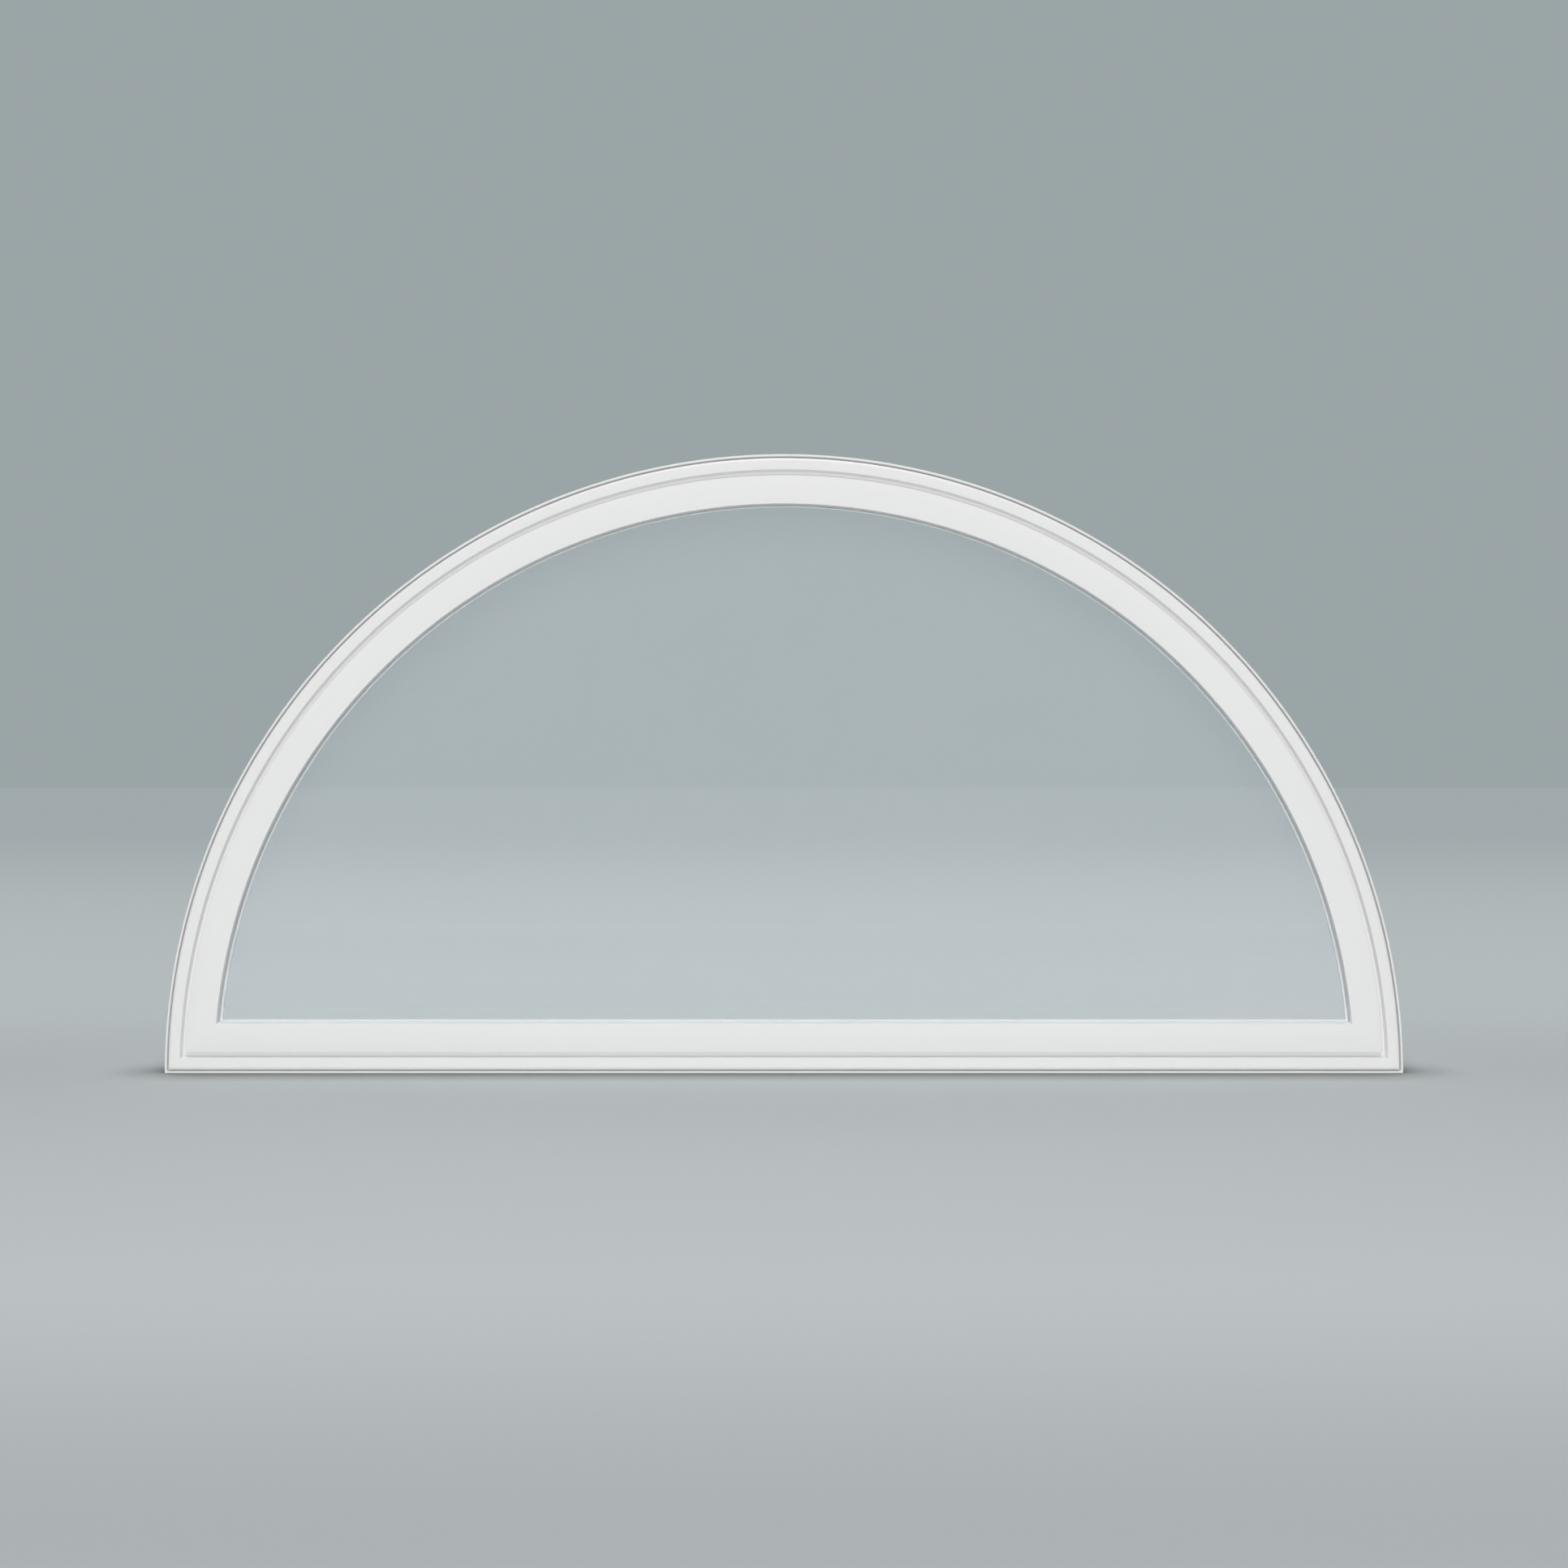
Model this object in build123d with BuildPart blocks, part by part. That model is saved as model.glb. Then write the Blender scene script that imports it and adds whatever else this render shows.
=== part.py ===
from build123d import *
from math import radians, sin, sqrt
import os

# Half-round fixed window, standing upright on its sill.
# X runs along the sill, the outside face looks towards -Y and Z is up.
# The origin is in the middle of the sill's underside.
# A section is a list of corners (inset, depth, ease), in millimetres.
# Inset is measured in from the window's outline, depth back from the outside face,
# and ease is the length of that corner's chamfer. An ease of 0 leaves the corner sharp.

# Overall sizes
width = 1829.0
frame_depth = 82.6

# Rim at the outline of the outside face, and the quirk between it and the flat face
rim_setback = 1.5
rim_width = 3.0
rim_ease = 1.4
quirk_slope = 2.2
quirk_depth = 6.3
quirk_floor = 0.8
face_bevel_width = 2.9
face_bevel_depth = 1.2

# Flat outside face of the frame, then the reveal down to the sash
frame_face = 13.8
reveal_bevel = 3.0
reveal_depth = 7.5
reveal_floor = 5.5

# Stop lip of the frame that the sash bears on
stop_thickness = 3.5
joint_gap = 0.3

# Groove around the outside of the frame, for an installation fin
fin_groove_setback = 32.0
fin_groove_width = 4.0
fin_groove_depth = 6.0

# Sash
sash_face = 41.7
glazing_bevel = 2.7
sash_depth = 50.0
sash_clearance = 0.5
seal_thickness = 2.0
seal_width = 2.8

# Sealed glass unit
glass_setback = 9.0
pane_thickness = 4.8
air_space = 15.8
glass_bite = 13.3
edge_clearance = 4.0
tape_thickness = 1.6
spacer_width = 6.7
spacer_reveal = 1.2
setting_block_length = 100.0
setting_block_spacing = 840.0

# Inside bead and its gasket
bead_gasket_thickness = 2.0
bead_setback = 0.4
bead_ease = 2.0
gasket_width = 9.0

# Inside stop that holds the sash in the frame
inside_stop_width = 8.0
inside_stop_thickness = 9.0
inside_stop_ease = 2.0

# Eased corners of the extruded profiles
face_ease = 0.6
inside_ease = 1.0

# Mitre cutting: degrees that a bend runs on past the sill line, and how far a cut runs past its member
foot_overrun = 1.0
mitre_overcut = 20.0
cutter_depth = 2.0 * frame_depth

radius = width / 2
front = -frame_depth / 2
quirk_end = rim_width + quirk_slope + quirk_floor
face_start = quirk_end + face_bevel_width
face_end = face_start + frame_face
frame_wall = face_end + reveal_bevel
sash_edge = frame_wall + reveal_floor
sash_face_end = sash_edge + sash_face
daylight = sash_face_end + glazing_bevel
stop_back = reveal_depth + stop_thickness
seal_back = stop_back + seal_thickness
sash_outside = frame_wall + sash_clearance
glass_edge = daylight - glass_bite
rebate = glass_edge - edge_clearance
tape_front = glass_setback - tape_thickness
inner_pane_front = glass_setback + pane_thickness + air_space
unit_back = inner_pane_front + pane_thickness
bead_front = unit_back + bead_gasket_thickness
spacer_inside = daylight + spacer_reveal
spacer_outside = spacer_inside - spacer_width
bead_inside = daylight - bead_setback
fin_groove_end = fin_groove_setback + fin_groove_width

os.makedirs("parts", exist_ok=True)


def draw_section(plane, corners, place):
    """Closed cross-section on a plane, with place giving a corner's point on it."""
    with BuildSketch(plane) as section:
        with BuildLine():
            Polyline(*[place(inset, depth) for inset, depth, _ in corners], close=True)
        make_face()
        for inset, depth, ease in corners:
            if ease > 0:
                corner = section.vertices().sort_by_distance(place(inset, depth))[0]
                chamfer(corner, length=ease)
    return section.sketch


def mitre_block(inset_out, inset_in, mode):
    """Block below the two mitre cuts between a bent member and its straight one."""
    outer_x = sqrt(radius**2 - 2 * radius * inset_out)
    inner_x = sqrt(radius**2 - 2 * radius * inset_in)
    slope = (outer_x - inner_x) / (inset_in - inset_out)
    low_z = -radius * sin(radians(foot_overrun)) - mitre_overcut
    low_x = outer_x + slope * (inset_out - low_z)
    high_z = inset_in + mitre_overcut
    high_x = inner_x - slope * mitre_overcut
    with BuildSketch(Plane.XZ) as block:
        with BuildLine():
            Polyline((-low_x, low_z), (-high_x, high_z), (high_x, high_z), (low_x, low_z), close=True)
        make_face()
    extrude(block.sketch, amount=cutter_depth, both=True, mode=mode)


def bend_arch(corners):
    """Section bent round the half circle and mitred at both feet."""
    insets = [inset for inset, _, _ in corners]
    foot_plane = Plane.XY.rotated((0, -foot_overrun, 0))
    section = draw_section(foot_plane, corners, lambda inset, depth: (inset - radius, front + depth))
    revolve(section, axis=Axis.Y, revolution_arc=180 + 2 * foot_overrun)
    mitre_block(min(insets), max(insets), Mode.SUBTRACT)


def run_straight(corners):
    """Section run along the sill and mitred at both ends."""
    insets = [inset for inset, _, _ in corners]
    section = draw_section(Plane.YZ, corners, lambda inset, depth: (front + depth, inset))
    extrude(section, amount=radius + mitre_overcut, both=True)
    mitre_block(min(insets), max(insets), Mode.INTERSECT)


def pane_sheet(inset, depth, thickness):
    """Flat half-round sheet, inset from the outline, with its outside face at a depth."""
    end_x = sqrt((radius - inset) ** 2 - inset**2)
    with BuildSketch(Plane.XZ.offset(-front - depth)) as sheet:
        with BuildLine():
            Line((-end_x, inset), (end_x, inset))
            ThreePointArc((end_x, inset), (0, radius - inset), (-end_x, inset))
        make_face()
    extrude(sheet.sketch, amount=-thickness)


def bar(inset_out, inset_in, depth, thickness):
    """Corners of a plain rectangular section."""
    return [
        (inset_out, depth, 0),
        (inset_in, depth, 0),
        (inset_in, depth + thickness, 0),
        (inset_out, depth + thickness, 0),
    ]


# Frame: rim, quirk, flat face, reveal, stop lip and the wall behind them
frame_section = [
    (0, rim_setback, rim_ease),
    (rim_width, rim_setback, rim_ease),
    (rim_width + quirk_slope, quirk_depth, 0),
    (quirk_end, quirk_depth, 0),
    (quirk_end, face_bevel_depth, 0),
    (face_start, 0, 0),
    (face_end, 0, face_ease),
    (frame_wall, reveal_depth, 0),
    (sash_edge - joint_gap, reveal_depth, 0),
    (sash_edge - joint_gap, stop_back, 0),
    (frame_wall, stop_back, 0),
    (frame_wall, frame_depth, inside_ease),
    (0, frame_depth, inside_ease),
    (0, fin_groove_end, 0),
    (fin_groove_depth, fin_groove_end, 0),
    (fin_groove_depth, fin_groove_setback, 0),
    (0, fin_groove_setback, 0),
]

with BuildPart() as frame_arch:
    bend_arch(frame_section)
frame_arch.part.label = "frame_arch"
export_step(frame_arch.part, "parts/frame_arch.step")

with BuildPart() as frame_sill:
    run_straight(frame_section)
frame_sill.part.label = "frame_sill"
export_step(frame_sill.part, "parts/frame_sill.step")

# Sash: flange behind the stop lip, flat face, bevel to the glass, glazing leg and glass rebate
sash_section = [
    (sash_outside, seal_back, 0),
    (sash_edge, seal_back, 0),
    (sash_edge, 0, face_ease),
    (sash_face_end, 0, face_ease),
    (daylight, tape_front, 0),
    (rebate, tape_front, 0),
    (rebate, sash_depth, 0),
    (sash_outside, sash_depth, 0),
]

with BuildPart() as sash_arch:
    bend_arch(sash_section)
sash_arch.part.label = "sash_arch"
export_step(sash_arch.part, "parts/sash_arch.step")

with BuildPart() as sash_bottom_rail:
    run_straight(sash_section)
sash_bottom_rail.part.label = "sash_bottom_rail"
export_step(sash_bottom_rail.part, "parts/sash_bottom_rail.step")

# Seal strip between the stop lip and the sash flange
seal_section = bar(sash_outside, sash_outside + seal_width, stop_back, seal_thickness)

with BuildPart() as sash_seal_arch:
    bend_arch(seal_section)
sash_seal_arch.part.label = "sash_seal_arch"
export_step(sash_seal_arch.part, "parts/sash_seal_arch.step")

with BuildPart() as sash_seal_sill:
    run_straight(seal_section)
sash_seal_sill.part.label = "sash_seal_sill"
export_step(sash_seal_sill.part, "parts/sash_seal_sill.step")

# Inside stop that closes the gap between the frame and the sash
inside_stop_edge = frame_wall + joint_gap
inside_stop_section = [
    (inside_stop_edge, sash_depth, 0),
    (inside_stop_edge + inside_stop_width, sash_depth, 0),
    (inside_stop_edge + inside_stop_width, sash_depth + inside_stop_thickness, inside_stop_ease),
    (inside_stop_edge, sash_depth + inside_stop_thickness, 0),
]

with BuildPart() as inside_stop_arch:
    bend_arch(inside_stop_section)
inside_stop_arch.part.label = "inside_stop_arch"
export_step(inside_stop_arch.part, "parts/inside_stop_arch.step")

with BuildPart() as inside_stop_sill:
    run_straight(inside_stop_section)
inside_stop_sill.part.label = "inside_stop_sill"
export_step(inside_stop_sill.part, "parts/inside_stop_sill.step")

# Glazing tape between the sash's glazing leg and the outer pane
tape_section = bar(glass_edge, daylight - joint_gap, tape_front, tape_thickness)

with BuildPart() as glazing_tape_arch:
    bend_arch(tape_section)
glazing_tape_arch.part.label = "glazing_tape_arch"
export_step(glazing_tape_arch.part, "parts/glazing_tape_arch.step")

with BuildPart() as glazing_tape_sill:
    run_straight(tape_section)
glazing_tape_sill.part.label = "glazing_tape_sill"
export_step(glazing_tape_sill.part, "parts/glazing_tape_sill.step")

# Sealed unit: two panes, the spacer bar between them and the sealant behind it
with BuildPart() as outer_pane:
    pane_sheet(glass_edge, glass_setback, pane_thickness)
outer_pane.part.label = "outer_pane"
export_step(outer_pane.part, "parts/outer_pane.step")

with BuildPart() as inner_pane:
    pane_sheet(glass_edge, inner_pane_front, pane_thickness)
inner_pane.part.label = "inner_pane"
export_step(inner_pane.part, "parts/inner_pane.step")

air_space_front = glass_setback + pane_thickness
spacer_section = bar(spacer_outside, spacer_inside, air_space_front, air_space)

with BuildPart() as spacer_arch:
    bend_arch(spacer_section)
spacer_arch.part.label = "spacer_arch"
export_step(spacer_arch.part, "parts/spacer_arch.step")

with BuildPart() as spacer_sill:
    run_straight(spacer_section)
spacer_sill.part.label = "spacer_sill"
export_step(spacer_sill.part, "parts/spacer_sill.step")

sealant_section = bar(glass_edge, spacer_outside - joint_gap, air_space_front, air_space)

with BuildPart() as edge_sealant_arch:
    bend_arch(sealant_section)
edge_sealant_arch.part.label = "edge_sealant_arch"
export_step(edge_sealant_arch.part, "parts/edge_sealant_arch.step")

with BuildPart() as edge_sealant_sill:
    run_straight(sealant_section)
edge_sealant_sill.part.label = "edge_sealant_sill"
export_step(edge_sealant_sill.part, "parts/edge_sealant_sill.step")

# Inside glazing bead and the gasket it presses on the inner pane
gasket_section = bar(bead_inside - gasket_width, bead_inside, unit_back, bead_gasket_thickness)

with BuildPart() as bead_gasket_arch:
    bend_arch(gasket_section)
bead_gasket_arch.part.label = "bead_gasket_arch"
export_step(bead_gasket_arch.part, "parts/bead_gasket_arch.step")

with BuildPart() as bead_gasket_sill:
    run_straight(gasket_section)
bead_gasket_sill.part.label = "bead_gasket_sill"
export_step(bead_gasket_sill.part, "parts/bead_gasket_sill.step")

bead_section = [
    (rebate + joint_gap, bead_front, 0),
    (bead_inside, bead_front, 0),
    (bead_inside, sash_depth, bead_ease),
    (rebate + joint_gap, sash_depth, 0),
]

with BuildPart() as glazing_bead_arch:
    bend_arch(bead_section)
glazing_bead_arch.part.label = "glazing_bead_arch"
export_step(glazing_bead_arch.part, "parts/glazing_bead_arch.step")

with BuildPart() as glazing_bead_sill:
    run_straight(bead_section)
glazing_bead_sill.part.label = "glazing_bead_sill"
export_step(glazing_bead_sill.part, "parts/glazing_bead_sill.step")

# Setting blocks that carry the glass unit on the bottom rail
unit_middle = front + (glass_setback + unit_back) / 2
block_plane = Plane.XY.offset(rebate)

for side, name in ((-1, "setting_block_left"), (1, "setting_block_right")):
    with BuildPart() as setting_block:
        with BuildSketch(block_plane):
            with Locations((side * setting_block_spacing / 2, unit_middle)):
                Rectangle(setting_block_length, unit_back - glass_setback)
        extrude(amount=edge_clearance)
    setting_block.part.label = name
    export_step(setting_block.part, f"parts/{name}.step")
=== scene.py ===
# %% [markdown]
# # A half-round fixed window in white plastic
#
# The window is one rigid unit: a bent outer frame on a straight sill, a sash fixed inside it, and a
# sealed double glass unit held by a bead on the inside. Each member is one extruded profile, bent
# for the arch and left straight for the sill, with a mitre where the two meet.
# The construction model already holds every piece at its real size. It has flat facets and plain
# chamfers, so this lesson sweeps finer profiles along the same paths and gives them their finish.

# %% Load the construction model
import math

import bmesh
import bpy
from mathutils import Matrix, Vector


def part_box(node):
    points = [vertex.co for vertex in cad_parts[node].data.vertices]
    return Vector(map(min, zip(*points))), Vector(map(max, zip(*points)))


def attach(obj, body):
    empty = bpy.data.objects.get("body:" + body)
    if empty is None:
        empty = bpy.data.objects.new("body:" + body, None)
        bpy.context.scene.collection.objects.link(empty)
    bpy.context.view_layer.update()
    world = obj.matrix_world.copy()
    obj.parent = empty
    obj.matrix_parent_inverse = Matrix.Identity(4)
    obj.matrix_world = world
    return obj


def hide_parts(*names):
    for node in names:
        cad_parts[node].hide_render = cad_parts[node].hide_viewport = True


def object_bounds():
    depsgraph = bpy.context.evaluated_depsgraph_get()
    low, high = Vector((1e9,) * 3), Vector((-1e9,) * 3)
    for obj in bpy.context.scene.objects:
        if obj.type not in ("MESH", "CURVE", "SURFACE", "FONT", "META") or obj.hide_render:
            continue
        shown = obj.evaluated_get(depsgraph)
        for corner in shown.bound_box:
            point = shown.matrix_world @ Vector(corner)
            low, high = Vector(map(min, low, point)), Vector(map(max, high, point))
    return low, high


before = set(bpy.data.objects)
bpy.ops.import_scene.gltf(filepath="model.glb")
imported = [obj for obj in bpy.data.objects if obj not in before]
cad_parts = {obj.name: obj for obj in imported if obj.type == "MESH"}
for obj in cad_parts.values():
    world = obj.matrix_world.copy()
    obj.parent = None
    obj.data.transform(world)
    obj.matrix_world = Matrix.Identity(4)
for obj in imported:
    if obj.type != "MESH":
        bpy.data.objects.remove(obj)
cad_box = [list(corner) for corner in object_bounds()]
print("construction model:", len(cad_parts), "nodes, box", cad_box)

# %% [markdown]
# ## Measures taken from the model
#
# Every place on this window can be told by two numbers: the inset, measured in from the outline,
# and the depth, measured back from the outside face. The straight members show both directly,
# because their height above the floor is their inset. So the box of each straight node gives the
# inset and the depth of a whole ring, and only the small steps of the profiles need values of
# their own.

# %% Driving measures
MM = 0.001
low, high = (Vector(corner) for corner in cad_box)
outline_radius = (high.x - low.x) / 2
front_y = low.y


def ring_reach(straight_node):
    """Outer inset, inner inset, front depth and back depth of a ring, from its straight member."""
    box_low, box_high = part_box(straight_node)
    return box_low[2], box_high[2], box_low[1] - front_y, box_high[1] - front_y


frame_out, stop_lip_in, frame_face_depth, frame_back = ring_reach("frame_sill")
sash_out, daylight_in, sash_face_depth, sash_back = ring_reach("sash_bottom_rail")
print(f"radius {outline_radius:.4f} m, frame {frame_back / MM:.1f} mm deep")
print(f"sash from {sash_out / MM:.1f} to {daylight_in / MM:.1f} mm in from the outline")

# %% [markdown]
# ## The profiles
#
# A profile is drawn as a list of corners, each with the radius that the extrusion die leaves on it.
# Sharp corners would look like paper: it is the small round on each edge that catches a thin line
# of light. Larger rounds get their own radius, such as the nose of the rim.

# %% Rounding a profile
ARC_STEPS = 4
EDGE_ROUND = 0.5 * MM
INNER_ROUND = 0.3 * MM


def rounded_outline(corners):
    """Points of a closed profile, with an arc in place of each corner that has a radius."""
    points = []
    for index, (inset, depth, corner_radius) in enumerate(corners):
        here = Vector((inset, depth))
        if corner_radius == 0:
            points.append(here)
            continue
        before = (Vector(corners[index - 1][:2]) - here).normalized()
        after = (Vector(corners[(index + 1) % len(corners)][:2]) - here).normalized()
        half_angle = before.angle(after) / 2
        start = here + before * (corner_radius / math.tan(half_angle))
        end = here + after * (corner_radius / math.tan(half_angle))
        centre = here + (before + after).normalized() * (corner_radius / math.sin(half_angle))
        for step in range(ARC_STEPS + 1):
            on_chord = start.lerp(end, step / ARC_STEPS)
            points.append(centre + (on_chord - centre).normalized() * corner_radius)
    return points


def bar_profile(straight_node, corner_radius=INNER_ROUND):
    """Rounded rectangle that fills the box of a straight member."""
    outer, inner, face, back = ring_reach(straight_node)
    return rounded_outline(
        [
            (outer, face, corner_radius),
            (inner, face, corner_radius),
            (inner, back, corner_radius),
            (outer, back, corner_radius),
        ]
    )


# %% [markdown]
# ### Outer frame
#
# From the outline inwards the frame has a small rounded rim, a narrow quirk with one slanted side,
# a shallow bevel up to the flat face, and a steep reveal that drops to the stop lip. The sash
# stands in that reveal. Walls that face outwards are upright, so the arch hides them from in front.

# %% Frame profile
rim_setback = 1.5 * MM
rim_width = 3.0 * MM
rim_nose = 1.4 * MM
quirk_in = 5.2 * MM
quirk_depth = 6.3 * MM
quirk_end = 6.0 * MM
face_bevel_depth = 1.2 * MM
face_start = 8.9 * MM
face_end = 22.7 * MM
frame_wall = 25.7 * MM
reveal_depth = 7.5 * MM
stop_back = 11.0 * MM
back_round = 1.2 * MM
fin_groove_start = 32.0 * MM
fin_groove_end = 36.0 * MM
fin_groove_bottom = 6.0 * MM

frame_profile = rounded_outline(
    [
        (frame_out, rim_setback, rim_nose),
        (rim_width, rim_setback, rim_nose),
        (quirk_in, quirk_depth, 0.1 * MM),
        (quirk_end, quirk_depth, 0.1 * MM),
        (quirk_end, face_bevel_depth, INNER_ROUND),
        (face_start, frame_face_depth, EDGE_ROUND),
        (face_end, frame_face_depth, EDGE_ROUND),
        (frame_wall, reveal_depth, INNER_ROUND),
        (stop_lip_in, reveal_depth, INNER_ROUND),
        (stop_lip_in, stop_back, INNER_ROUND),
        (frame_wall, stop_back, INNER_ROUND),
        (frame_wall, frame_back, back_round),
        (frame_out, frame_back, back_round),
        (frame_out, fin_groove_end, EDGE_ROUND),
        (fin_groove_bottom, fin_groove_end, INNER_ROUND),
        (fin_groove_bottom, fin_groove_start, INNER_ROUND),
        (frame_out, fin_groove_start, EDGE_ROUND),
    ]
)
print("frame profile:", len(frame_profile), "points")

# %% [markdown]
# ### Sash
#
# The sash is a broad flat ring. Its outer edge stands upright in the reveal, and a steep bevel
# falls from its inner edge to the glass. Behind the face it carries the rebate for the glass unit.

# %% Sash profile
sash_edge = 31.2 * MM
sash_face_end = 72.9 * MM
tape_front = 7.4 * MM
seal_back = 13.0 * MM
rebate_in = 58.3 * MM

sash_profile = rounded_outline(
    [
        (sash_out, seal_back, INNER_ROUND),
        (sash_edge, seal_back, INNER_ROUND),
        (sash_edge, sash_face_depth, EDGE_ROUND),
        (sash_face_end, sash_face_depth, EDGE_ROUND),
        (daylight_in, tape_front, INNER_ROUND),
        (rebate_in, tape_front, INNER_ROUND),
        (rebate_in, sash_back, INNER_ROUND),
        (sash_out, sash_back, INNER_ROUND),
    ]
)
print("sash profile:", len(sash_profile), "points")

# %% [markdown]
# ### Inside bead and inside stop
#
# Both are small strips with one rounded nose towards the room. The bead clips in last, behind the
# glass, and the stop covers the gap between the sash and the frame.

# %% Bead and stop profiles
bead_nose = 2.6 * MM


def nosed_profile(straight_node, nose):
    """Rectangular strip with a rounded nose on its inner edge, on the room side."""
    outer, inner, face, back = ring_reach(straight_node)
    return rounded_outline(
        [
            (outer, face, INNER_ROUND),
            (inner, face, INNER_ROUND),
            (inner, back, nose),
            (outer, back, EDGE_ROUND),
        ]
    )


bead_profile = nosed_profile("glazing_bead_sill", bead_nose)
stop_profile = nosed_profile("inside_stop_sill", bead_nose)
print("bead and stop profiles:", len(bead_profile), "points each")

# %% [markdown]
# ## Sweeping a profile with Geometry Nodes
#
# All members follow one rule, so one node tree makes them all. It lays out a grid whose rows are
# stations along the member and whose columns are the points of the profile, then moves each grid
# point to its place. On the arch a point with a given inset runs round a circle. On the sill it
# runs along a straight line. Both end on the mitre, where the height above the floor equals the
# inset, so the two members meet point for point.
# A curve sweep could do the same, but it thins a profile at a sharp corner, and the mitre would
# have to be cut afterwards.

# %% Small helpers for node trees


def add_node(tree, kind, **settings):
    """New node with its plain settings."""
    node = tree.nodes.new(kind)
    for name, value in settings.items():
        setattr(node, name, value)
    return node


def feed(tree, socket, value):
    """Links a socket or sets a plain value."""
    if isinstance(value, bpy.types.NodeSocket):
        tree.links.new(value, socket)
    else:
        socket.default_value = value


def calc(tree, operation, *values):
    """Output of a Math node."""
    node = add_node(tree, "ShaderNodeMath", operation=operation)
    for socket, value in zip(node.inputs, values):
        feed(tree, socket, value)
    return node.outputs[0]


def combine(tree, x, y, z):
    """Output of a Combine XYZ node."""
    node = add_node(tree, "ShaderNodeCombineXYZ")
    for socket, value in zip(node.inputs, (x, y, z)):
        feed(tree, socket, value)
    return node.outputs[0]


def new_tree(name, kind, inputs, outputs):
    """Node tree with named sockets, its input node and its output node."""
    tree = bpy.data.node_groups.new(name, kind)
    for in_out, sockets in (("INPUT", inputs), ("OUTPUT", outputs)):
        for socket_name, socket_type in sockets:
            tree.interface.new_socket(name=socket_name, in_out=in_out, socket_type=socket_type)
    return tree, add_node(tree, "NodeGroupInput"), add_node(tree, "NodeGroupOutput")


# %% [markdown]
# The profile arrives as an open line of points. Each point's X is its inset, its Y the depth and
# its Z the distance along the profile. The last one lets the tree write a texture map in metres,
# so that the fine lines of the extrusion can follow the member round the bend.

# %% The member tree
WELD_DISTANCE = 0.005 * MM


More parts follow.
